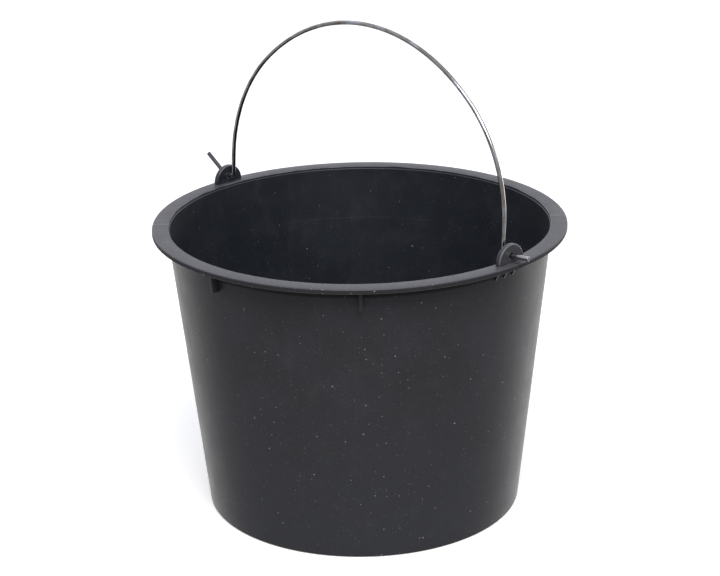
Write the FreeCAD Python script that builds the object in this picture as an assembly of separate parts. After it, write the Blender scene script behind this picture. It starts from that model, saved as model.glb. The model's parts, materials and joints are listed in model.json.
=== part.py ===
"""Moulded feed bucket with a swinging wire bail.

The real bucket is two physical pieces: a plastic moulding, and a bent wire bail.
The moulding is divided here along its own features, face to face with no overlap:
  bucket_wall    the tapered wall with its bottom corner
  bucket_floor   the disc inside the bottom corner
  bucket_rim     step, flat flange and hanging skirt
  ear_right, ear_left      the upright ears on the flange, at +X and -X
  ear_gussets    thin triangles under the flange below each ear
  stacking_ribs  the ribs that carry the bucket when it is nested in another
  wire_bail      the steel wire handle, hooked outwards through both ears

Millimetres, +Z up, origin at the centre of the flat underside.
The bail's hinge line runs along X through both ear holes.
"""
import FreeCAD, Part
import math
import os

from FreeCAD import Vector

# ---- driving dimensions: wall, floor and rim ----
HEIGHT = 266.0            # underside to the rim's flat top
BASE_R = 145.2            # outer radius at the underside
WALL_TOP_R = 173.6        # outer radius where the wall meets the rim's step
RIM_R = 187.5             # outer radius of the rim
WALL = 1.9                # wall, flange and step thickness
FLOOR = 2.5               # floor thickness
FLANGE_IN_R = 172.6       # inner radius of the rim's flat top
STEP_DROP = 2.4           # height of the shallow step just inside the rim
SKIRT_DROP = 4.1          # height of the skirt that hangs from the rim's edge
SKIRT = 2.2               # thickness of the skirt
BASE_EDGE_R = 1.5         # rounding of the bottom edge
FLOOR_CORNER_R = 3.0      # rounding between the floor and the inside of the wall
RIM_EDGE_R = 1.2          # rounding of the rim's outer top edge
RIM_INNER_EDGE_R = 0.7    # rounding of the rim's inner top edge

# ---- driving dimensions: the ears ----
EAR_R = 15.8              # radius of an ear's outline
EAR_CENTRE_RISE = 1.2     # outline centre above the rim's top
EAR_IN_X = 176.3          # distance of an ear's inner face from the bucket's axis
EAR = 4.9                 # thickness of an ear
EAR_EDGE_R = 1.3          # rounding of the outline on both faces
HOLE_R = 3.0              # hole for the bail
HINGE_RISE = 6.6          # hinge line above the rim's top

# ---- driving dimensions: gussets and ribs under the rim ----
GUSSET = 1.2              # thickness of an ear gusset
GUSSET_PITCH = 10.75      # spacing of the gussets under an ear
GUSSET_COUNT = 3
GUSSET_DROP = 15.0        # foot of a gusset below the rim's top
GUSSET_REACH_X = 181.5    # how far out a gusset runs under the flange
RIB_WIDTH = 3.0
RIB_PROUD = 7.0           # how far a stacking rib stands off the wall
RIB_DROP = 22.5           # foot of a rib below the rim's top
RIB_ANGLES = (45.0, 90.0, 135.0, 225.0, 270.0, 315.0)
ROOT = 1.2                # how far a raw rib or gusset runs into its neighbours before it is trimmed

# ---- driving dimensions: the wire bail ----
WIRE_R = 2.0
LEG_X = 170.5             # distance of each leg's centre-line from the bucket's axis
LEG_RISE = 22.1           # straight leg above the hinge line
SHOULDER_R = 135.2        # radius of the bail's shoulders
CROWN_DROP = 38.3         # centre of the crown's arc below the shoulders' centres
BAIL_LEAN = 4.0           # degrees that the bail leans towards +Y as it stands at rest
BEND_R = 4.0              # centre-line radius of the bend at the foot of a leg
RIGHT_TIP_X = 200.0       # cut end on the +X side
RIGHT_TILT = 4.0          # degrees that the +X end rises outwards
LEFT_KINK_X = -181.4      # where the -X end turns up, at its ear's outer face
LEFT_KINK_R = 3.0
LEFT_TILT = 33.0          # degrees that the -X end rises beyond its kink
LEFT_TAIL = 30.5          # length beyond the kink
WIRE_END_CHAMFER = 0.3

# ---- derived ----
STEP_FOOT_Z = HEIGHT - STEP_DROP - WALL
WALL_SLOPE = (WALL_TOP_R - BASE_R) / STEP_FOOT_Z
HINGE_Z = HEIGHT + HINGE_RISE
EAR_MID_X = EAR_IN_X + EAR / 2.0
FAR = 1000.0              # size of a cutting box, larger than the bucket


def wall_radius(z):
    """Outer radius of the conical wall at height z."""
    return BASE_R + WALL_SLOPE * z


def rounded_path(corners, closed):
    """Straight runs joined by tangent arcs.

    corners is a list of (point, radius): a radius of 0 leaves a sharp corner.
    """
    count = len(corners)
    entries = []
    for i, (point, radius) in enumerate(corners):
        is_end = not closed and i in (0, count - 1)
        if radius == 0 or is_end:
            entries.append((point, point, None))
            continue
        to_last = (corners[i - 1][0] - point).normalize()
        to_next = (corners[(i + 1) % count][0] - point).normalize()
        half = to_last.getAngle(to_next) / 2.0
        trim = radius / math.tan(half)
        middle = (to_last + to_next).normalize()
        crown = point + middle * (radius / math.sin(half) - radius)
        entries.append((point + to_last * trim, point + to_next * trim, crown))
    edges = []
    for i, (start, end, crown) in enumerate(entries):
        if crown is not None:
            edges.append(Part.Arc(start, crown, end).toShape())
        if i < count - 1 or closed:
            next_start = entries[(i + 1) % count][0]
            edges.append(Part.makeLine(end, next_start))
    return edges


def turned_ring(outline):
    """A solid of revolution about Z from (radius, height, corner rounding) rows."""
    corners = [(Vector(r, 0, z), rounding) for r, z, rounding in outline]
    face = Part.Face(Part.Wire(rounded_path(corners, True)))
    return face.revolve(Vector(0, 0, 0), Vector(0, 0, 1), 360)


def floor_edge_radius():
    """Where the floor's flat top meets the rounding at the foot of the wall."""
    lean = math.atan(WALL_SLOPE)
    return wall_radius(FLOOR) - WALL - FLOOR_CORNER_R * math.tan((math.pi / 2 - lean) / 2)


def make_wall():
    floor_edge = floor_edge_radius()
    inner_foot_r = wall_radius(FLOOR) - WALL
    solid = turned_ring([
        (floor_edge, 0.0, 0.0),
        (BASE_R, 0.0, BASE_EDGE_R),
        (WALL_TOP_R, STEP_FOOT_Z, 0.0),
        (WALL_TOP_R - WALL, STEP_FOOT_Z, 0.0),
        (inner_foot_r, FLOOR, FLOOR_CORNER_R * 0.999),
        (floor_edge, FLOOR, 0.0),
    ])
    return solid


def make_floor():
    return Part.makeCylinder(floor_edge_radius(), FLOOR)


def make_rim():
    step_out_r = FLANGE_IN_R + WALL
    ledge_z = HEIGHT - STEP_DROP
    flange_z = HEIGHT - WALL
    skirt_z = HEIGHT - SKIRT_DROP
    skirt_in_r = RIM_R - SKIRT
    return turned_ring([
        (WALL_TOP_R - WALL, STEP_FOOT_Z, 0.0),
        (step_out_r, STEP_FOOT_Z, 0.6),
        (step_out_r, flange_z, 0.8),
        (skirt_in_r, flange_z, 0.8),
        (skirt_in_r, skirt_z, 0.5),
        (RIM_R, skirt_z, 0.5),
        (RIM_R, HEIGHT, RIM_EDGE_R),
        (FLANGE_IN_R, HEIGHT, RIM_INNER_EDGE_R),
        (FLANGE_IN_R, ledge_z, 0.4),
        (WALL_TOP_R - WALL, ledge_z, 0.4),
    ])


def make_ear():
    """The +X ear: an upright disc, rounded on both faces and cut off at the flange."""
    centre_z = HEIGHT + EAR_CENTRE_RISE
    along_x = Vector(1, 0, 0)
    disc = Part.makeCylinder(EAR_R, EAR, Vector(EAR_IN_X, 0, centre_z), along_x)
    outline_edges = [edge for edge in disc.Edges if edge.BoundBox.XLength < 0.01]
    disc = disc.makeFillet(EAR_EDGE_R, outline_edges)
    above = Part.makeBox(FAR, FAR, FAR, Vector(0, -FAR / 2, HEIGHT))
    hole = Part.makeCylinder(HOLE_R, 2 * EAR, Vector(EAR_IN_X - EAR / 2, 0, HINGE_Z), along_x)
    return disc.common(above).cut(hole)


def plate(points, thickness, y):
    """An upright plate in the XZ plane, centred on y."""
    corners = [Vector(x, y - thickness / 2.0, z) for x, z in points]
    face = Part.Face(Part.makePolygon(corners + corners[:1]))
    return face.extrude(Vector(0, thickness, 0))


def raw_gussets():
    """Thin triangles that carry the flange under the +X ear, before they are trimmed."""
    foot_z = HEIGHT - GUSSET_DROP
    under_z = HEIGHT - WALL + ROOT / 2
    ledge_z = HEIGHT - STEP_DROP - ROOT
    outline = [
        (wall_radius(foot_z) - ROOT, foot_z),
        (wall_radius(foot_z) + 0.3, foot_z),
        (GUSSET_REACH_X, under_z),
        (FLANGE_IN_R + ROOT, under_z),
        (FLANGE_IN_R + ROOT, ledge_z),
        (WALL_TOP_R - ROOT, ledge_z),
    ]
    first = -(GUSSET_COUNT - 1) / 2.0
    return [plate(outline, GUSSET, (first + i) * GUSSET_PITCH) for i in range(GUSSET_COUNT)]


def raw_rib():
    """The stacking rib on the +X side, before it is trimmed.

    Its flat foot stands on the inner part of the next bucket's rim when nested.
    """
    foot_z = HEIGHT - RIB_DROP
    under_z = HEIGHT - WALL + ROOT / 2
    ledge_z = HEIGHT - STEP_DROP - ROOT
    return plate([
        (wall_radius(foot_z) - ROOT, foot_z),
        (wall_radius(foot_z) + RIB_PROUD, foot_z),
        (WALL_TOP_R + RIB_PROUD, under_z),
        (FLANGE_IN_R + ROOT, under_z),
        (FLANGE_IN_R + ROOT, ledge_z),
        (WALL_TOP_R - ROOT, ledge_z),
    ], RIB_WIDTH, 0.0)


def turned(shape, degrees):
    """A copy of the shape turned about the bucket's axis."""
    copy = shape.copy()
    copy.rotate(Vector(0, 0, 0), Vector(0, 0, 1), degrees)
    return copy


def arc_between(centre, radius, start_deg, end_deg):
    """An arc in the XZ plane, angles measured from +X towards +Z."""
    points = []
    for degrees in (start_deg, (start_deg + end_deg) / 2.0, end_deg):
        angle = math.radians(degrees)
        points.append(centre + Vector(radius * math.cos(angle), 0, radius * math.sin(angle)))
    return Part.Arc(*points).toShape()


def bail_path():
    """Centre-line of the upright wire, from the +X tip over the crown to the -X tip."""
    leg_top = HINGE_Z + LEG_RISE
    right_slope = math.tan(math.radians(RIGHT_TILT))
    right_tip = Vector(RIGHT_TIP_X, 0, HINGE_Z + (RIGHT_TIP_X - EAR_MID_X) * right_slope)
    right_foot = Vector(LEG_X, 0, HINGE_Z + (LEG_X - EAR_MID_X) * right_slope)
    right_end = rounded_path(
        [(right_tip, 0), (right_foot, BEND_R), (Vector(LEG_X, 0, leg_top), 0)], False)

    shoulder_x = LEG_X - SHOULDER_R
    crown_r = SHOULDER_R + math.hypot(shoulder_x, CROWN_DROP)
    blend = math.degrees(math.atan2(CROWN_DROP, shoulder_x))
    arch = [
        arc_between(Vector(shoulder_x, 0, leg_top), SHOULDER_R, 0, blend),
        arc_between(Vector(0, 0, leg_top - CROWN_DROP), crown_r, blend, 180 - blend),
        arc_between(Vector(-shoulder_x, 0, leg_top), SHOULDER_R, 180 - blend, 180),
    ]

    tilt = math.radians(LEFT_TILT)
    kink = Vector(LEFT_KINK_X, 0, HINGE_Z)
    left_tip = kink + Vector(-math.cos(tilt), 0, math.sin(tilt)) * LEFT_TAIL
    left_end = rounded_path(
        [(Vector(-LEG_X, 0, leg_top), 0), (Vector(-LEG_X, 0, HINGE_Z), BEND_R),
         (kink, LEFT_KINK_R), (left_tip, 0)], False)
    return right_end + arch + left_end


def make_bail():
    path = bail_path()
    tips = (path[0].Vertexes[0].Point, path[-1].Vertexes[1].Point)
    heading = (path[0].Vertexes[1].Point - tips[0]).normalize()
    section = Part.Wire(Part.Circle(tips[0], heading, WIRE_R).toShape())
    wire = Part.Wire(path).makePipeShell([section], True, False)

    def is_cut_end(edge):
        if not isinstance(edge.Curve, Part.Circle):
            return False
        return min((edge.Curve.Center - tip).Length for tip in tips) < 0.001

    wire = wire.makeChamfer(WIRE_END_CHAMFER, [edge for edge in wire.Edges if is_cut_end(edge)])
    wire.rotate(Vector(0, 0, HINGE_Z), Vector(1, 0, 0), -BAIL_LEAN)
    length = sum(edge.Length for edge in path)
    print("wire length %.1f mm, volume %.1f mm3, section x length %.1f mm3"
          % (length, wire.Volume, math.pi * WIRE_R ** 2 * length))
    return wire


def export(node, solids):
    shape = solids[0] if len(solids) == 1 else Part.makeCompound(solids)
    box = shape.BoundBox
    print("%s: solids %d, valid %s, volume %.0f mm3, x %.1f..%.1f, y %.1f..%.1f, z %.1f..%.1f"
          % (node, len(shape.Solids), shape.isValid(), shape.Volume,
             box.XMin, box.XMax, box.YMin, box.YMax, box.ZMin, box.ZMax))
    shape.exportStep("parts/%s.step" % node)


def main():
    os.makedirs("parts", exist_ok=True)
    wall = make_wall()
    rim = make_rim()
    neighbours = wall.fuse(rim)
    gussets = [turned(gusset, side) for side in (0.0, 180.0) for gusset in raw_gussets()]
    ribs = [turned(raw_rib(), angle) for angle in RIB_ANGLES]
    ear = make_ear()
    export("bucket_wall", [wall])
    export("bucket_floor", [make_floor()])
    export("bucket_rim", [rim])
    export("ear_right", [ear])
    export("ear_left", [turned(ear, 180.0)])
    export("ear_gussets", [gusset.cut(neighbours).Solids[0] for gusset in gussets])
    export("stacking_ribs", [rib.cut(neighbours).Solids[0] for rib in ribs])
    export("wire_bail", [make_bail()])


main()
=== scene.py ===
"""Looks of the feed bucket: one continuous black plastic moulding and its bent wire bail.

Metres, +Z up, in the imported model's own frame. The bail hinges along X through both ears.
"""

import json
import math

import bmesh
import bpy
from mathutils import Matrix, Quaternion, Vector


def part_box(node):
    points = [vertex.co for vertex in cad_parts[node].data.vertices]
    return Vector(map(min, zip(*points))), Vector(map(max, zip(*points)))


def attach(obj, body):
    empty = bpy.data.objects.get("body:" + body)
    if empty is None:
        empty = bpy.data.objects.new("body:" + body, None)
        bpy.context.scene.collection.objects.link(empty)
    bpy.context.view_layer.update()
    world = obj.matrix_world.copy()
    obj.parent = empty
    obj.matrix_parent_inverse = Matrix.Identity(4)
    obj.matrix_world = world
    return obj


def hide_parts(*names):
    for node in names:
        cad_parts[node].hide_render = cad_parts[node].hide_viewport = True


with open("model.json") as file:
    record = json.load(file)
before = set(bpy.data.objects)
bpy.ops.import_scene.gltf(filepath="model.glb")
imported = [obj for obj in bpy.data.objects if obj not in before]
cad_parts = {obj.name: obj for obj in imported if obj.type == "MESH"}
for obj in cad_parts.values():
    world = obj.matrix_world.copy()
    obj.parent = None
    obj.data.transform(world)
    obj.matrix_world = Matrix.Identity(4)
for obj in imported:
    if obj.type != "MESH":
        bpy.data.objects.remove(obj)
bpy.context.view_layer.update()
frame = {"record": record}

MM = 0.001
TAU = 2.0 * math.pi

# ---- sizes read from the frame ----
RIM_LOW, RIM_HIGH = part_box("bucket_rim")
EAR_LOW, EAR_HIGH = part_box("ear_right")
RIB_FOOT_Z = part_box("stacking_ribs")[0][2]
GUSSET_FOOT_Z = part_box("ear_gussets")[0][2]
HINGE = Vector(frame["record"]["behaviour"]["joints"][0]["pos_m"])
HEIGHT = RIM_HIGH[2]
RIM_R = min(RIM_HIGH[0], RIM_HIGH[1])
STEP_FOOT_Z = RIM_LOW[2]

# ---- sizes of the moulding that the frame's boxes don't give ----
BASE_R = 145.2 * MM
WALL_TOP_R = 173.6 * MM
WALL = 1.9 * MM
FLOOR = 2.5 * MM
FLANGE_IN_R = 172.6 * MM
STEP_DROP = 2.4 * MM
SKIRT_DROP = 4.1 * MM
SKIRT = 2.2 * MM
WALL_SLOPE = (WALL_TOP_R - BASE_R) / STEP_FOOT_Z

# ---- underside: the gate's stub in its dimple, and a shallow ring groove ----
STUB_R = 1.6 * MM
STUB_Z = 0.3 * MM
STUB_SIDE = 0.4 * MM
DIMPLE_R = 7.0 * MM
DIMPLE_DEPTH = 0.9 * MM
DIMPLE_SIDE = 0.5 * MM
GROOVE_IN_R = 130.0 * MM
GROOVE_OUT_R = 134.0 * MM
GROOVE_DEPTH = 0.7 * MM
GROOVE_SIDE = 0.6 * MM

# ---- ears ----
EAR_R = 15.8 * MM
EAR_CENTRE_Z = HEIGHT + 1.2 * MM
EAR_EDGE_R = 1.3 * MM
EAR_SUNK = 1.6 * MM
HOLE_R = 3.0 * MM
HOLE_EDGE_R = 0.35 * MM
EAR_COVE = 1.0 * MM
COVE_SUNK = 0.03 * MM
COVE_BACK = 0.5 * MM
COVE_ROOT = 0.6 * MM

# ---- ribs and gussets ----
GUSSET = 1.2 * MM
GUSSET_PITCH = 10.75 * MM
GUSSET_TOE = 0.5 * MM
GUSSET_TOP_R = 181.5 * MM
RIB_WIDTH = 3.0 * MM
RIB_PROUD = 7.0 * MM
RIB_ANGLES = (45, 90, 135, 225, 270, 315)
SOFT_EDGE = 0.25 * MM
ROOT = 1.2 * MM

# ---- wire ----
WIRE_R = 2.0 * MM
WIRE_CHAMFER = 0.3 * MM
LEG_X = 170.5 * MM
LEG_RISE = 22.1 * MM
SHOULDER_R = 135.2 * MM
CROWN_DROP = 38.3 * MM
BAIL_LEAN = math.radians(4.0)
BEND_R = 4.0 * MM
RIGHT_TIP_X = 200.0 * MM
RIGHT_TILT = math.radians(4.0)
LEFT_KINK_X = -181.4 * MM
LEFT_KINK_R = 3.0 * MM
LEFT_TILT = math.radians(33.0)
LEFT_TAIL = 30.5 * MM

# ---- how finely the round shapes are divided, in pieces, degrees or length ----
LATHE_STEPS = 384
EAR_STEPS = 128
WIRE_SIDES = 32
FILLET_STEP = 15.0
BEND_STEP = 8.0
ARCH_STEP = 2.0
LONGEST_RUN = 14.0 * MM
SHARP_ANGLE = math.radians(32)

# ---- noises in the plastic: scale per metre, octaves, roughness ----
MOTTLE = (14.0, 4.0, 0.60)
CLOUD = (45.0, 5.0, 0.62)
SMEARS = (75.0, 6.0, 0.70)
GRAIN = (900.0, 2.0, 0.50)
STREAKS = (420.0, 3.0, 0.60)
WAVES = (22.0, 2.0, 0.50)

# ---- how two of those are drawn out round the bucket: metres per radian, share of the height ----
STREAKS_DRAWN = (0.16, 0.05)
SMEARS_DRAWN = (0.17, 0.12)

# ---- noises in the wire, in the same order ----
WIRE_PATCHES = (60.0, 4.0, 0.60)
WIRE_PITS = (420.0, 3.0, 0.60)
WIRE_LINES = (500.0, 2.0, 0.50)

# ---- how the wire's lines are drawn out: metres per radian along it, times across it ----
LINES_DRAWN = (0.02, 2.0)

# ---- colours of the plastic ----
OUTSIDE_WARM = (0.0245, 0.0240, 0.0228)
OUTSIDE_COOL = (0.0305, 0.0298, 0.0350)
# painted bounce light: the outside's colour toward the foot, lighter as if lit from the floor
FOOT_BOUNCE_LIGHT = (0.0345, 0.0350, 0.0385)
# painted shade and painted cool light: the inside's two tones, darker and bluer than the outside
INSIDE_SHADED_DARK = (0.0090, 0.0112, 0.0158)
INSIDE_SHADED_PALE = (0.0130, 0.0156, 0.0208)
GRAIN_PALE = (0.054, 0.053, 0.055)
SCUFFED = (0.048, 0.048, 0.051)
SMUDGED = (0.054, 0.055, 0.062)
NEST_RUBBED = (0.060, 0.063, 0.074)
HAND_RUBBED = (0.070, 0.069, 0.070)
# dust and painted top light on faces that look up
DUST_AND_TOP_LIGHT = (0.072, 0.069, 0.080)
SETTLED_DUST = (0.085, 0.082, 0.078)
NAP_PALE = (0.100, 0.098, 0.106)
# pale colour for the painted highlights on edges and for the knit line
PALE_KNIT_AND_EDGE_HIGHLIGHT = (0.16, 0.16, 0.17)
FIN_PALE = (0.40, 0.39, 0.37)
# painted shadow on the wall just under the skirt
UNDER_SKIRT_SHADOW = (0.0050, 0.0042, 0.0030)
# painted shade on the skirt's upright face
SKIRT_FACE_SHADE = (0.0100, 0.0095, 0.0105)
SPECK_WHITE = (0.60, 0.60, 0.62)
SPECK_YELLOW = (0.50, 0.43, 0.28)

# ---- colours of the wire ----
ZINC_BRIGHT = (0.64, 0.65, 0.68)
ZINC_DULL = (0.38, 0.35, 0.31)
TARNISH = (0.20, 0.155, 0.11)
PITTED = (0.10, 0.085, 0.07)
# painted shade on the wire's left end
LEFT_END_SHADE = (0.07, 0.07, 0.075)

# ---- height of the faint line that a nested bucket rubbed round the inside ----
NEST_LINE_Z = 215.0 * MM

# ---- bearing of the line where the plastic's two flows met, seen on the rim ----
KNIT_LINE = (math.cos(math.radians(46)), math.sin(math.radians(46)))

# ---- dust and pale specks: cells per metre, largest radius, share of cells, strength ----
SPECKS = (
    (150.0, 0.90 * MM, 0.10, 0.50),
    (250.0, 0.66 * MM, 0.14, 0.42),
    (420.0, 0.42 * MM, 0.25, 0.28),
    (640.0, 0.30 * MM, 0.35, 0.22),
)

# ---- the studio: its brightness in front of the bucket, behind it and above it ----
DIM_SIDE = (0.36, 0.36, 0.39)
BRIGHT_SIDE = (1.92, 1.90, 1.87)
TOP_SIDE = (0.62, 0.66, 0.76)
BRIGHT_BEARING = (-0.66, 0.75, 0.0)
UP = (0.0, 0.0, 1.0)

# ---- its two soft lights: place, size, watts ----
TOP_LIGHT = ((1.1, -0.85, 2.15), (1.3, 1.3), 50)
RIGHT_LIGHT = ((0.1, 2.7, 0.1), (1.0, 0.9), 12)

# ---- its floor, which lies just under the bucket so that the two faces never coincide ----
STUDIO_R = 9.0
STUDIO_GAP = 0.3 * MM
STUDIO_COLOUR = (0.90, 0.875, 0.835)
STUDIO_GLOW = 0.35

# ---- the camera, as fitted to the photograph's outlines ----
CAMERA_AZIMUTH = math.radians(45.1)
CAMERA_ELEVATION = math.radians(19.795)
CAMERA_ROLL = math.radians(-1.045)
CAMERA_DISTANCE = 1.8333
CAMERA_TARGET = Vector((-0.0005, -0.0005, 0.2002))
CAMERA_LENS = 100.0
CAMERA_SENSOR = 36.0


# ------------------------------------------------------------------ mesh helpers
def wall_radius(z):
    """Outer radius of the tapered wall at height z."""
    return BASE_R + WALL_SLOPE * z


def rounded(corners, step_deg):
    """Points along an open line of straight runs joined by tangent arcs.

    corners is a list of (point, radius). Only the arcs are subdivided.
    """
    points = []
    for i, (corner, radius) in enumerate(corners):
        is_end = i in (0, len(corners) - 1)
        if radius == 0 or is_end:
            points.append(corner.copy())
            continue
        to_last = (corners[i - 1][0] - corner).normalized()
        to_next = (corners[i + 1][0] - corner).normalized()
        half = to_last.angle(to_next) / 2.0
        centre = corner + (to_last + to_next).normalized() * (radius / math.sin(half))
        start = corner + to_last * (radius / math.tan(half)) - centre
        end = corner + to_next * (radius / math.tan(half)) - centre
        sweep = math.pi - 2.0 * half
        steps = max(2, math.ceil(math.degrees(sweep) / step_deg))
        for k in range(steps + 1):
            t = k / steps
            mixed = start * math.sin((1 - t) * sweep) + end * math.sin(t * sweep)
            points.append(centre + mixed / math.sin(sweep))
    return points


def quarter_turn(steps, start=0):
    """Angles that divide a quarter turn into steps, both ends included; start is in degrees."""
    return [math.radians(start + 90 * k / steps) for k in range(steps + 1)]


def new_object(name, bm):
    """Turns the mesh being built into an object in the scene."""
    mesh = bpy.data.meshes.new(name)
    bmesh.ops.recalc_face_normals(bm, faces=bm.faces)
    bm.to_mesh(mesh)
    bm.free()
    obj = bpy.data.objects.new(name, mesh)
    bpy.context.scene.collection.objects.link(obj)
    return obj


def ring_faces(bm, rings, closed_rows=False):
    """Quads between neighbouring closed rings of vertices, and from the last to the first if asked."""
    rows = len(rings)
    for i in range(rows if closed_rows else rows - 1):
        low, high = rings[i], rings[(i + 1) % rows]
        for k in range(len(low)):
            n = (k + 1) % len(low)
            bm.faces.new((low[k], low[n], high[n], high[k]))


def lathe(name, outline, steps):
    """A closed solid of revolution; the outline starts and ends on the axis."""
    bm = bmesh.new()
    rings = []
    for r, z in outline[1:-1]:
        ring = []
        for k in range(steps):
            a = TAU * k / steps
            ring.append(bm.verts.new((r * math.cos(a), r * math.sin(a), z)))
        rings.append(ring)
    ring_faces(bm, rings)
    for pole, ring in ((outline[0], rings[0]), (outline[-1], rings[-1])):
        centre = bm.verts.new((0, 0, pole[1]))
        for k in range(steps):
            bm.faces.new((ring[k], ring[(k + 1) % steps], centre))
    return new_object(name, bm)


def prism(name, outline, width, edge):
    """An upright plate in the XZ plane, centred on Y, with softened edges."""
    bm = bmesh.new()
    near = [bm.verts.new((x, -width / 2, z)) for x, z in outline]
    far = [bm.verts.new((x, width / 2, z)) for x, z in outline]
    bm.faces.new(near)
    bm.faces.new(list(reversed(far)))
    for k in range(len(outline)):
        n = (k + 1) % len(outline)
        bm.faces.new((near[k], near[n], far[n], far[k]))
    bmesh.ops.recalc_face_normals(bm, faces=bm.faces)
    bmesh.ops.bevel(bm, geom=bm.edges[:], offset=edge, segments=2, profile=0.5, affect="EDGES")
    return new_object(name, bm)


def turned_copy(obj, degrees):
    """A copy with its own mesh, turned about the bucket's axis."""
    copy = obj.copy()
    copy.data = obj.data.copy()
    copy.data.transform(Matrix.Rotation(math.radians(degrees), 4, "Z"))
    bpy.context.scene.collection.objects.link(copy)
    return copy


def join_solids(base, parts):
    """Joins closed parts to the base, one after another, into one closed mesh, and removes them."""
    for part in parts:
        mod = base.modifiers.new("join", "BOOLEAN")
        mod.operation = "UNION"
        mod.solver = "MANIFOLD"
        mod.object = part
        graph = bpy.context.evaluated_depsgraph_get()
        mesh = bpy.data.meshes.new_from_object(base.evaluated_get(graph))
        base.modifiers.clear()
        old = base.data
        base.data = mesh
        bpy.data.meshes.remove(old)
        bpy.data.objects.remove(part)


def smooth(obj):
    """Smooth shading that keeps the real edges sharp."""
    obj.data.shade_smooth()
    obj.data.set_sharp_from_angle(angle=SHARP_ANGLE)


# ------------------------------------------------------------------ the moulding
def bucket_outline():
    """Half section of wall, floor, step, flange and skirt, with the gate mark underneath.

    Each row is a corner's radius and height, and the rounding of that corner.
    """
    ledge_z = HEIGHT - STEP_DROP
    flange_z = HEIGHT - WALL
    skirt_z = HEIGHT - SKIRT_DROP
    step_out_r = FLANGE_IN_R + WALL
    skirt_in_r = RIM_R - SKIRT
    rows = [
        (0.0, STUB_Z, 0.0),
        (STUB_R, STUB_Z, 0.2 * MM),
        (STUB_R + STUB_SIDE, DIMPLE_DEPTH, 0.2 * MM),
        (DIMPLE_R - DIMPLE_SIDE, DIMPLE_DEPTH, 0.3 * MM),
        (DIMPLE_R, 0.0, 0.3 * MM),
        (GROOVE_IN_R, 0.0, 0.4 * MM),
        (GROOVE_IN_R + GROOVE_SIDE, GROOVE_DEPTH, 0.3 * MM),
        (GROOVE_OUT_R - GROOVE_SIDE, GROOVE_DEPTH, 0.3 * MM),
        (GROOVE_OUT_R, 0.0, 0.4 * MM),
        (BASE_R, 0.0, 1.5 * MM),
        (WALL_TOP_R, STEP_FOOT_Z, 0.8 * MM),
        (step_out_r, STEP_FOOT_Z, 0.6 * MM),
        (step_out_r, flange_z, 0.8 * MM),
        (skirt_in_r, flange_z, 0.8 * MM),
        (skirt_in_r, skirt_z, 0.5 * MM),
        (RIM_R, skirt_z, 0.5 * MM),
        (RIM_R, HEIGHT, 1.2 * MM),
        (FLANGE_IN_R, HEIGHT, 0.7 * MM),
        (FLANGE_IN_R, ledge_z, 0.4 * MM),
        (WALL_TOP_R - WALL, ledge_z, 0.4 * MM),
        (WALL_TOP_R - WALL, STEP_FOOT_Z, 0.0),
        (wall_radius(FLOOR) - WALL, FLOOR, 3.0 * MM),
        (0.0, FLOOR, 0.0),
    ]
    corners = [(Vector((r, z, 0)), rounding) for r, z, rounding in rows]
    points = [(p.x, p.y) for p in rounded(corners, FILLET_STEP)]
    return subdivided(points, LONGEST_RUN)


def subdivided(points, longest):
    """The same outline with its long straight runs cut into shorter ones."""
    out = [points[0]]
    for (r0, z0), (r1, z1) in zip(points, points[1:]):
        pieces = max(1, round(math.hypot(r1 - r0, z1 - z0) / longest))
        for k in range(1, pieces + 1):
            out.append((r0 + (r1 - r0) * k / pieces, z0 + (z1 - z0) * k / pieces))
    return out


def make_ear():
    """The +X ear: a disc with rounded edges around its hole, its foot sunk into the flange."""
    x_in, x_out = EAR_LOW[0], EAR_HIGH[0]
    foot_z = HEIGHT - EAR_SUNK
    rise = HINGE.z - EAR_CENTRE_Z
    level = -0.01  # sine of an angle just under level, where the foot starts to limit the reach

    def reach(angle, inset):
        """Distance from the hole's centre to the outline, pulled in by inset."""
        c, s = math.cos(angle), math.sin(angle)
        radius = EAR_R - inset
        far = -rise * s + math.sqrt(radius ** 2 - (rise * c) ** 2)
        if s < level:
            far = min(far, (HINGE.z - foot_z) / -s)
        return far

    section = []
    for a in quarter_turn(4):
        section.append(("hole", x_in + HOLE_EDGE_R * (1 - math.sin(a)), HOLE_EDGE_R * (1 - math.cos(a))))
    for a in quarter_turn(6):
        section.append(("edge", x_in + EAR_EDGE_R * (1 - math.cos(a)), EAR_EDGE_R * (1 - math.sin(a))))
    section += [(kind, x_in + x_out - x, offset) for kind, x, offset in reversed(section)]

    bm = bmesh.new()
    rings = []
    for kind, x, offset in section:
        ring = []
        for k in range(EAR_STEPS):
            a = TAU * k / EAR_STEPS
            r = HOLE_R + offset if kind == "hole" else reach(a, offset)
            ring.append(bm.verts.new((x, r * math.cos(a), HINGE.z + r * math.sin(a))))
        rings.append(ring)
    ring_faces(bm, rings, closed_rows=True)
    return new_object("ear", bm)


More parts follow.
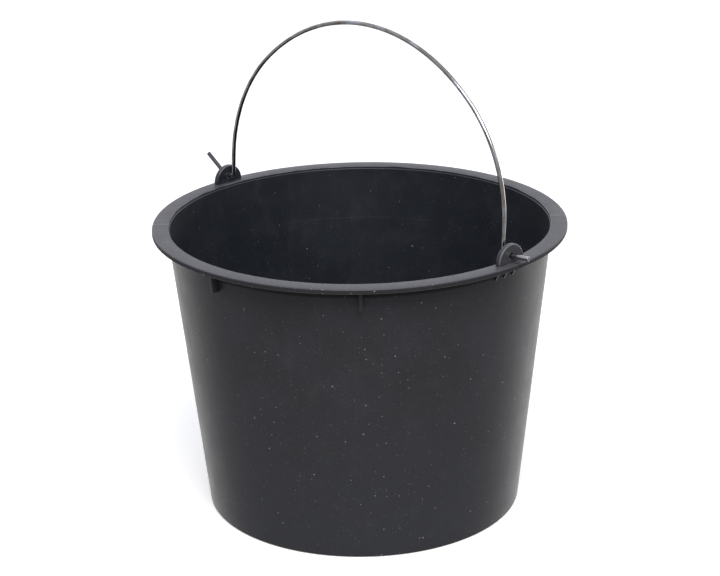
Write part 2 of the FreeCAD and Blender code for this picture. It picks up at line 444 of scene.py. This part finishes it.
def make_ear_cove():
    """A small concave fillet round the +X ear's foot on the flange."""
    x_mid = (EAR_LOW[0] + EAR_HIGH[0]) / 2
    half_x = (EAR_HIGH[0] - EAR_LOW[0]) / 2
    half_y = math.sqrt(EAR_R ** 2 - (EAR_CENTRE_Z - HEIGHT) ** 2)
    section = []
    for a in quarter_turn(6):
        section.append((EAR_COVE * (1 - math.sin(a)) - COVE_SUNK, EAR_COVE * (1 - math.cos(a)) - COVE_SUNK))
    edge = EAR_COVE - COVE_SUNK
    section += [(-COVE_BACK, edge), (-COVE_BACK, -COVE_ROOT), (edge, -COVE_ROOT)]

    path = []
    for corner, (sx, sy) in enumerate(((1, 1), (-1, 1), (-1, -1), (1, -1))):
        centre = Vector((x_mid + sx * (half_x - EAR_EDGE_R), sy * (half_y - EAR_EDGE_R)))
        for a in quarter_turn(8, start=90 * corner):
            normal = Vector((math.cos(a), math.sin(a)))
            path.append((centre + normal * EAR_EDGE_R, normal))
    bm = bmesh.new()
    rings = []
    for offset, z in section:
        rings.append([bm.verts.new((p.x + n.x * offset, p.y + n.y * offset, HEIGHT + z)) for p, n in path])
    ring_faces(bm, rings, closed_rows=True)
    return new_object("ear_cove", bm)


def bracket_outline(foot_z, foot_r, top_r):
    """A web under the flange, from its foot at foot_r up to top_r, rooted in wall, flange and step."""
    under_z = HEIGHT - WALL + ROOT / 2
    ledge_z = HEIGHT - STEP_DROP - ROOT
    return [
        (wall_radius(foot_z) - ROOT, foot_z),
        (foot_r, foot_z),
        (top_r, under_z),
        (FLANGE_IN_R + ROOT, under_z),
        (FLANGE_IN_R + ROOT, ledge_z),
        (WALL_TOP_R - ROOT, ledge_z),
    ]


def make_gusset():
    """One thin triangular web under an ear, at +X."""
    outline = bracket_outline(GUSSET_FOOT_Z, wall_radius(GUSSET_FOOT_Z) + GUSSET_TOE, GUSSET_TOP_R)
    return prism("gusset", outline, GUSSET, SOFT_EDGE)


def make_rib():
    """One stacking rib with its flat foot, at +X."""
    outline = bracket_outline(RIB_FOOT_Z, wall_radius(RIB_FOOT_Z) + RIB_PROUD, WALL_TOP_R + RIB_PROUD)
    return prism("rib", outline, RIB_WIDTH, SOFT_EDGE)


def make_moulding():
    """The whole bucket as one closed mesh, as it comes out of its mould.

    The +X ear, its cove and its three gussets are patterns that are turned to both sides.
    """
    body = lathe("bucket_moulding", bucket_outline(), LATHE_STEPS)
    parts = []
    ear, cove, gusset, rib = make_ear(), make_ear_cove(), make_gusset(), make_rib()
    for side in (0, 180):
        parts.append(turned_copy(ear, side))
        parts.append(turned_copy(cove, side))
        for k in (-1, 0, 1):
            copy = turned_copy(gusset, 0)
            copy.data.transform(Matrix.Translation((0, k * GUSSET_PITCH, 0)))
            copy.data.transform(Matrix.Rotation(math.radians(side), 4, "Z"))
            parts.append(copy)
    parts += [turned_copy(rib, angle) for angle in RIB_ANGLES]
    for pattern in (ear, cove, gusset, rib):
        bpy.data.objects.remove(pattern)
    join_solids(body, parts)
    smooth(body)
    return body


# ------------------------------------------------------------------ the wire
def arch_points(centre, radius, start, end):
    """Points of an arc in the XZ plane, about centre."""
    steps = math.ceil(abs(math.degrees(end - start)) / ARCH_STEP)
    points = []
    for k in range(steps + 1):
        a = start + (end - start) * k / steps
        points.append(Vector((centre.x + radius * math.cos(a), 0, centre.z + radius * math.sin(a))))
    return points


def wire_line():
    """Centre-line of the bail from the +X tip over the crown to the -X tip."""
    leg_top = HINGE.z + LEG_RISE
    ear_mid_x = (EAR_LOW[0] + EAR_HIGH[0]) / 2
    slope = math.tan(RIGHT_TILT)
    right_tip = Vector((RIGHT_TIP_X, 0, HINGE.z + (RIGHT_TIP_X - ear_mid_x) * slope))
    right_foot = Vector((LEG_X, 0, HINGE.z + (LEG_X - ear_mid_x) * slope))
    line = rounded([(right_tip, 0), (right_foot, BEND_R), (Vector((LEG_X, 0, leg_top)), 0)], BEND_STEP)[:-1]

    shoulder_x = LEG_X - SHOULDER_R
    crown_r = SHOULDER_R + math.hypot(shoulder_x, CROWN_DROP)
    blend = math.atan2(CROWN_DROP, shoulder_x)
    line += arch_points(Vector((shoulder_x, 0, leg_top)), SHOULDER_R, 0, blend)[:-1]
    line += arch_points(Vector((0, 0, leg_top - CROWN_DROP)), crown_r, blend, math.pi - blend)[:-1]
    line += arch_points(Vector((-shoulder_x, 0, leg_top)), SHOULDER_R, math.pi - blend, math.pi)

    kink = Vector((LEFT_KINK_X, 0, HINGE.z))
    left_tip = kink + Vector((-math.cos(LEFT_TILT), 0, math.sin(LEFT_TILT))) * LEFT_TAIL
    left_corners = [
        (Vector((-LEG_X, 0, leg_top)), 0),
        (Vector((-LEG_X, 0, HINGE.z)), BEND_R),
        (kink, LEFT_KINK_R),
        (left_tip, 0),
    ]
    return line + rounded(left_corners, BEND_STEP)[1:]


def make_wire():
    """Round wire swept along its line, with chamfered ends, then leaned about the hinge."""
    line = wire_line()
    first_dir = (line[1] - line[0]).normalized()
    last_dir = (line[-1] - line[-2]).normalized()
    stations = [
        (line[0], first_dir, WIRE_R - WIRE_CHAMFER),
        (line[0] + first_dir * WIRE_CHAMFER, first_dir, WIRE_R),
    ]
    for last, here, following in zip(line, line[1:], line[2:]):
        tangent = ((following - here).normalized() + (here - last).normalized()).normalized()
        stations.append((here, tangent, WIRE_R))
    stations.append((line[-1] - last_dir * WIRE_CHAMFER, last_dir, WIRE_R))
    stations.append((line[-1], last_dir, WIRE_R - WIRE_CHAMFER))

    bm = bmesh.new()
    rings = []
    across = Vector((0, 1, 0))
    for point, tangent, radius in stations:
        up = tangent.cross(across).normalized()
        ring = []
        for k in range(WIRE_SIDES):
            a = TAU * k / WIRE_SIDES
            ring.append(bm.verts.new(point + (across * math.cos(a) + up * math.sin(a)) * radius))
        rings.append(ring)
    ring_faces(bm, rings)
    bm.faces.new(rings[0])
    bm.faces.new(rings[-1])
    wire = new_object("bail_wire", bm)
    lean = Matrix.Rotation(-BAIL_LEAN, 4, "X")
    wire.data.transform(Matrix.Translation(HINGE) @ lean @ Matrix.Translation(-HINGE))
    smooth(wire)
    return wire


# ------------------------------------------------------------------ materials
class Nodes:
    """Short calls for building a node tree. A value may be a socket, a number or a colour."""

    MIX_A, MIX_B, MIX_RESULT = 6, 7, 2  # a Mix node's colour sockets

    def __init__(self, tree):
        self.tree = tree

    def link(self, source, target):
        if isinstance(source, (int, float, tuple)):
            target.default_value = source
        else:
            self.tree.links.new(source, target)

    def add(self, kind, **settings):
        node = self.tree.nodes.new(kind)
        for key, value in settings.items():
            setattr(node, key, value)
        return node

    def position(self):
        """The point in the piece's own metres."""
        return self.add("ShaderNodeTexCoord").outputs["Object"]

    def noise(self, vector, scale, detail, roughness):
        node = self.add("ShaderNodeTexNoise")
        self.link(vector, node.inputs["Vector"])
        node.inputs["Scale"].default_value = scale
        node.inputs["Detail"].default_value = detail
        node.inputs["Roughness"].default_value = roughness
        return node.outputs["Fac"]

    def math(self, operation, a, b=0.0, c=0.0, clamp=False):
        node = self.add("ShaderNodeMath", operation=operation, use_clamp=clamp)
        for value, socket in zip((a, b, c), node.inputs):
            self.link(value, socket)
        return node.outputs[0]

    def product(self, first, *others):
        for other in others:
            first = self.math("MULTIPLY", first, other)
        return first

    def plus(self, base, mask, amount, clamp=False):
        """The base with amount added where the mask is 1."""
        return self.math("MULTIPLY_ADD", mask, amount, base, clamp=clamp)

    def absolute(self, value):
        return self.math("ABSOLUTE", value)

    def length(self, x, y):
        return self.math("SQRT", self.math("ADD", self.product(x, x), self.product(y, y)))

    def dot(self, vector, bearing):
        node = self.add("ShaderNodeVectorMath", operation="DOT_PRODUCT")
        self.link(vector, node.inputs[0])
        node.inputs[1].default_value = Vector(bearing).normalized()
        return node.outputs["Value"]

    def ramp(self, value, zero, one):
        """0 at the value zero and beyond it, 1 at the value one and beyond it, smooth between."""
        node = self.add("ShaderNodeMapRange", interpolation_type="SMOOTHSTEP")
        self.link(value, node.inputs["Value"])
        node.inputs["From Min"].default_value = zero
        node.inputs["From Max"].default_value = one
        return node.outputs["Result"]

    def mix(self, factor, a, b):
        """Colour a where the factor is 0, colour b where it is 1."""
        node = self.add("ShaderNodeMix", data_type="RGBA")
        self.link(factor, node.inputs["Factor"])
        for colour, place in ((a, self.MIX_A), (b, self.MIX_B)):
            self.link((*colour, 1.0) if isinstance(colour, tuple) else colour, node.inputs[place])
        return node.outputs[self.MIX_RESULT]

    def tint(self, colour, mask, strength, target):
        """The colour moved by strength toward the target colour where the mask is 1."""
        return self.mix(self.product(mask, strength), colour, target)

    def combine(self, x, y, z):
        node = self.add("ShaderNodeCombineXYZ")
        for value, socket in zip((x, y, z), node.inputs):
            self.link(value, socket)
        return node.outputs[0]

    def separate(self, vector):
        node = self.add("ShaderNodeSeparateXYZ")
        self.link(vector, node.inputs[0])
        return node.outputs

    def bump(self, height, distance, strength, under=None):
        """A surface direction bumped by height, over the direction under."""
        node = self.add("ShaderNodeBump")
        node.inputs["Strength"].default_value = strength
        node.inputs["Distance"].default_value = distance
        self.link(height, node.inputs["Height"])
        if under is not None:
            self.link(under, node.inputs["Normal"])
        return node.outputs[0]

    def specks(self, vector, scale, radius, share):
        """Small round dots, about one per cell, in a share of the cells; (mask, shade of 0 to 1)."""
        node = self.add("ShaderNodeTexVoronoi", feature="F1")
        self.link(vector, node.inputs["Vector"])
        node.inputs["Scale"].default_value = scale
        pick, size, shade = self.separate(node.outputs["Color"])
        inside = self.math("LESS_THAN", node.outputs["Distance"], self.product(size, radius * scale))
        return self.product(inside, self.math("LESS_THAN", pick, share)), shade


def new_material(name):
    """A new material, its shader, and the short calls that build its nodes."""
    material = bpy.data.materials.new(name)
    material.use_nodes = True
    return material, material.node_tree.nodes["Principled BSDF"], Nodes(material.node_tree)


class PlasticFields:
    """Where a point lies on the moulding, which way it faces, and the noises and masks that layers share."""

    def __init__(self, m):
        self.where = m.position()
        self.x, self.y, self.z = m.separate(self.where)
        self.radius = m.length(self.x, self.y)
        angle = m.math("ARCTAN2", self.y, self.x)

        def drawn_out(per_radian, per_height):
            """A place on the unrolled wall, stretched so that a noise there runs round the bucket."""
            return m.combine(m.product(angle, per_radian), m.product(self.z, per_height), 0.0)

        self.mottle = m.noise(self.where, *MOTTLE)
        self.cloud = m.noise(self.where, *CLOUD)
        self.smears = m.noise(drawn_out(*SMEARS_DRAWN), *SMEARS)
        self.grain = m.noise(self.where, *GRAIN)
        streaks = m.noise(drawn_out(*STREAKS_DRAWN), *STREAKS)
        self.rubbed = m.product(m.ramp(streaks, 0.60, 0.78), m.ramp(self.mottle, 0.45, 0.62))

        self.normal = m.separate(m.add("ShaderNodeNewGeometry").outputs["Normal"])
        self.facing_up = m.ramp(self.normal[2], 0.55, 0.95)
        outward = m.math("ADD", m.product(self.normal[0], self.x), m.product(self.normal[1], self.y))
        self.inward = m.ramp(outward, 0.02, -0.02)
        self.quiet = m.plus(1.0, self.inward, -0.55)

        # where the painted shadow on the wall under the skirt goes
        under_skirt = m.ramp(self.z, STEP_FOOT_Z - 10.0 * MM, STEP_FOOT_Z - 7.0 * MM)
        on_wall = m.ramp(self.radius, WALL_TOP_R + 0.8 * MM, WALL_TOP_R + 0.3 * MM)
        self.shadow_under_skirt = m.product(under_skirt, on_wall, m.math("SUBTRACT", 1.0, self.inward))
        # the skirt's upright face, where painted shade goes
        at_edge = m.ramp(self.radius, RIM_R - 0.9 * MM, RIM_R - 0.4 * MM)
        self.skirt = m.product(at_edge, m.ramp(m.absolute(self.normal[2]), 0.6, 0.3))


def plastic_base(m, f):
    """Near-black outside, with painted bounce light making it a little lighter toward the foot; darker and
    bluer inside, as painted shade and painted cool light.
    """
    shade = m.ramp(f.mottle, 0.35, 0.65)
    outside = m.mix(shade, OUTSIDE_WARM, OUTSIDE_COOL)
    # painted bounce light: lighter toward the foot
    outside = m.mix(m.ramp(f.z, 240.0 * MM, 0.0), outside, FOOT_BOUNCE_LIGHT)
    # painted shade and painted cool light: the inside darker and bluer than the outside
    return m.mix(f.inward, outside, m.mix(shade, INSIDE_SHADED_DARK, INSIDE_SHADED_PALE))


def plastic_marks_of_use(m, f, colour):
    """Grain, cloudy scuffs and smudges, the nested bucket's line and rubbed streaks."""
    colour = m.tint(colour, m.product(m.ramp(f.grain, 0.45, 0.62), 0.16), f.quiet, GRAIN_PALE)
    colour = m.tint(colour, m.product(m.ramp(f.cloud, 0.48, 0.74), 0.34), f.quiet, SCUFFED)
    colour = m.tint(colour, m.product(m.ramp(f.smears, 0.54, 0.74), 0.22), f.quiet, SMUDGED)
    off_line = m.absolute(m.math("SUBTRACT", f.z, NEST_LINE_Z))
    nest_line = m.product(m.ramp(off_line, 0.6 * MM, 0.2 * MM), f.inward, m.ramp(f.mottle, 0.42, 0.55))
    colour = m.tint(colour, nest_line, 0.30, NEST_RUBBED)
    return m.tint(colour, f.rubbed, 0.30, HAND_RUBBED)


def plastic_dust(m, f, colour):
    """A dusty bloom with painted top light on faces that look up, and dust thicker in patches on the inside
    floor.
    """
    # dust and painted top light: faces that look up lighter and bluer
    colour = m.tint(colour, f.facing_up, 0.50, DUST_AND_TOP_LIGHT)
    low_down = m.product(f.facing_up, m.ramp(f.z, 20.0 * MM, 5.0 * MM))
    patches = m.math("ADD", f.cloud, m.product(f.mottle, 0.5))
    settled = m.product(low_down, m.ramp(patches, 0.62, 0.95))
    return m.tint(colour, settled, 0.65, SETTLED_DUST)


def plastic_edges(m, f, colour):
    """Pale lower edges of the gussets, and patchy painted highlights along the ears' edges and the rim's
    inner edge.
    """
    slanting = m.product(m.ramp(f.normal[2], -0.35, -0.45), m.ramp(f.normal[2], -0.85, -0.70))
    high_up = m.ramp(f.z, HEIGHT - 18.0 * MM, HEIGHT - 16.0 * MM)
    outside_wall = m.ramp(f.radius, FLANGE_IN_R - 0.6 * MM, FLANGE_IN_R - 0.1 * MM)
    colour = m.tint(colour, m.product(slanting, high_up, outside_wall), 0.85, FIN_PALE)

    sideways = m.absolute(f.normal[0])
    ear_edge = m.product(m.ramp(sideways, 0.25, 0.45), m.ramp(sideways, 0.95, 0.80))
    ear_edge = m.product(ear_edge, m.ramp(f.z, HEIGHT + 1.0 * MM, HEIGHT + 3.0 * MM))
    near_mouth = m.ramp(f.radius, FLANGE_IN_R + 0.9 * MM, FLANGE_IN_R + 0.4 * MM)
    rim_edge = m.product(near_mouth, m.ramp(f.z, HEIGHT - 1.2 * MM, HEIGHT - 0.5 * MM))
    # painted highlight along the ears' edges and the rim's inner edge, broken up by the cloud noise
    edge_highlight = m.product(m.math("MAXIMUM", ear_edge, rim_edge), m.ramp(f.cloud, 0.30, 0.60))
    return m.tint(colour, edge_highlight, 0.75, PALE_KNIT_AND_EDGE_HIGHLIGHT)


def plastic_rim(m, f, colour):
    """Painted shadow on the wall under the skirt, painted shade on the skirt's face, and the rim's nap and
    knit line.
    """
    # painted shadow on the wall just under the skirt
    colour = m.tint(colour, f.shadow_under_skirt, 0.85, UNDER_SKIRT_SHADOW)
    # painted shade on the skirt's upright face
    colour = m.tint(colour, f.skirt, 0.60, SKIRT_FACE_SHADE)
    nap = m.product(m.ramp(f.grain, 0.42, 0.62), f.facing_up)
    colour = m.tint(colour, nap, 0.25, NAP_PALE)
    off_line = m.math("SUBTRACT", m.product(f.x, KNIT_LINE[1]), m.product(f.y, KNIT_LINE[0]))
    knit = m.product(m.ramp(m.absolute(off_line), 1.1 * MM, 0.2 * MM), f.facing_up)
    knit = m.product(knit, m.ramp(f.z, HEIGHT - 1.8 * MM, HEIGHT - 1.2 * MM))
    return m.tint(colour, knit, m.ramp(f.cloud, 0.35, 0.60), PALE_KNIT_AND_EDGE_HIGHLIGHT)


def plastic_specks(m, f, colour):
    """White and yellowish specks of several sizes, fainter inside."""
    for scale, radius, share, strength in SPECKS:
        dots, shade = m.specks(f.where, scale, radius, share)
        pale = m.mix(m.ramp(shade, 0.5, 1.0), SPECK_WHITE, SPECK_YELLOW)
        colour = m.tint(colour, m.product(dots, strength), f.quiet, pale)
    return colour


def plastic_material():
    """Black moulded polyethylene: satin, scuffed, dusty and speckled."""
    material, shader, m = new_material("black_polyethylene")
    f = PlasticFields(m)
    colour = plastic_base(m, f)
    for layer in (plastic_marks_of_use, plastic_dust, plastic_edges, plastic_rim, plastic_specks):
        colour = layer(m, f, colour)
    m.link(colour, shader.inputs["Base Color"])

    rough = m.plus(0.30, f.cloud, 0.16)
    rough = m.plus(rough, f.smears, 0.10)
    rough = m.plus(rough, f.rubbed, 0.12)
    rough = m.plus(rough, f.shadow_under_skirt, 0.30)
    rough = m.plus(rough, f.skirt, 0.28)
    rough = m.plus(rough, f.facing_up, 0.05)
    rough = m.plus(rough, f.grain, 0.06, clamp=True)
    m.link(rough, shader.inputs["Roughness"])
    shader.inputs["Specular IOR Level"].default_value = 0.45

    waves = m.bump(m.noise(f.where, *WAVES), 0.60 * MM, 0.25)
    scuffs = m.bump(f.smears, 0.10 * MM, 0.35, waves)
    m.link(m.bump(f.grain, 0.06 * MM, 0.60, scuffs), shader.inputs["Normal"])
    return material


def wire_material():
    """Drawn zinc-coated wire: bright, with fine brown lines along it, pits, and painted shade darkening its
    left end.
    """
    material, shader, m = new_material("drawn_steel_wire")
    where = m.position()
    x, y, z = m.separate(where)
    up = m.math("SUBTRACT", z, HINGE.z)
    angle = m.math("ARCTAN2", up, x)
    along, across = LINES_DRAWN
    drawn_out = m.combine(m.product(angle, along), m.product(m.length(x, up), across), m.product(y, across))
    patches = m.noise(where, *WIRE_PATCHES)
    pits = m.noise(where, *WIRE_PITS)
    lines = m.noise(drawn_out, *WIRE_LINES)

    colour = m.mix(m.ramp(patches, 0.35, 0.65), ZINC_BRIGHT, ZINC_DULL)
    colour = m.tint(colour, m.ramp(lines, 0.50, 0.66), 0.65, TARNISH)
    colour = m.tint(colour, m.ramp(pits, 0.60, 0.75), 0.60, PITTED)
    # painted shade: the left end darkened
    end_shade_mask = m.ramp(x, LEFT_KINK_X, LEFT_KINK_X - 3.0 * MM)
    colour = m.tint(colour, end_shade_mask, 0.80, LEFT_END_SHADE)
    m.link(colour, shader.inputs["Base Color"])
    shader.inputs["Metallic"].default_value = 1.0

    rough = m.plus(0.05, patches, 0.14)
    m.link(m.plus(rough, lines, 0.08), shader.inputs["Roughness"])
    pitted = m.bump(pits, 0.05 * MM, 0.25)
    m.link(m.bump(lines, 0.04 * MM, 0.40, pitted), shader.inputs["Normal"])
    return material


def studio_material():
    """Plain pale floor, with a glow that lifts it to white."""
    material, shader, _ = new_material("studio_floor")
    shader.inputs["Base Color"].default_value = (*STUDIO_COLOUR, 1.0)
    shader.inputs["Roughness"].default_value = 0.9
    shader.inputs["Specular IOR Level"].default_value = 0.1
    shader.inputs["Emission Color"].default_value = (1.0, 1.0, 1.0, 1.0)
    shader.inputs["Emission Strength"].default_value = STUDIO_GLOW
    return material


# ------------------------------------------------------------------ the studio
def make_floor():
    """The floor takes the bucket's shadow, but throws no light back up at it."""
    bm = bmesh.new()
    bmesh.ops.create_circle(bm, cap_ends=True, segments=96, radius=STUDIO_R)
    floor = new_object("studio_floor", bm)
    floor.data.materials.append(studio_material())
    floor.location.z = -STUDIO_GAP
    floor.visible_diffuse = False
    floor.visible_glossy = False


def make_area_light(name, place, size, watts):
    """A soft rectangular light, aimed at the middle of the bucket."""
    data = bpy.data.lights.new(name, "AREA")
    data.shape = "RECTANGLE"
    data.size, data.size_y = size
    data.energy = watts
    light = bpy.data.objects.new(name, data)
    light.location = place
    middle = Vector((0, 0, HEIGHT / 2))
    light.rotation_euler = (Vector(place) - middle).to_track_quat("Z", "Y").to_euler()
    bpy.context.scene.collection.objects.link(light)


def make_light():
    """Soft daylight from above and behind, dim from the front and from below."""
    world = bpy.data.worlds.new("studio")
    bpy.context.scene.world = world
    world.use_nodes = True
    m = Nodes(world.node_tree)
    direction = m.add("ShaderNodeTexCoord").outputs["Generated"]
    behind = m.ramp(m.dot(direction, BRIGHT_BEARING), 0.20, 0.95)
    above = m.ramp(m.dot(direction, UP), 0.08, 0.60)
    sky = m.mix(above, m.mix(behind, DIM_SIDE, BRIGHT_SIDE), TOP_SIDE)
    m.link(sky, world.node_tree.nodes["Background"].inputs["Color"])
    make_area_light("soft_top", *TOP_LIGHT)
    make_area_light("soft_right", *RIGHT_LIGHT)


def make_camera():
    """The photograph's view: from 45 degrees to the bail's line, 20 degrees up, nearly level."""
    level = math.cos(CAMERA_ELEVATION)
    back = Vector((
        math.sin(CAMERA_AZIMUTH) * level,
        -math.cos(CAMERA_AZIMUTH) * level,
        math.sin(CAMERA_ELEVATION),
    ))
    data = bpy.data.cameras.new("camera")
    data.sensor_width = CAMERA_SENSOR
    data.lens = CAMERA_LENS
    camera = bpy.data.objects.new("camera", data)
    camera.location = CAMERA_TARGET + back * CAMERA_DISTANCE
    camera.rotation_mode = "QUATERNION"
    camera.rotation_quaternion = back.to_track_quat("Z", "Y") @ Quaternion(UP, CAMERA_ROLL)
    bpy.context.scene.collection.objects.link(camera)
    bpy.context.scene.camera = camera


def main():
    """Builds both pieces, says what each one stands for, and sets the studio."""
    moulding = make_moulding()
    moulding.data.materials.clear()
    moulding.data.materials.append(plastic_material())
    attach(moulding, "bucket")
    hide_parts("bucket_wall", "bucket_floor", "bucket_rim", "ear_right", "ear_left",
                "ear_gussets", "stacking_ribs")

    wire = make_wire()
    wire.data.materials.append(wire_material())
    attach(wire, "bail")
    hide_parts("wire_bail")

    make_floor()
    make_light()
    make_camera()
    bpy.context.scene.view_settings.view_transform = "Standard"


main()
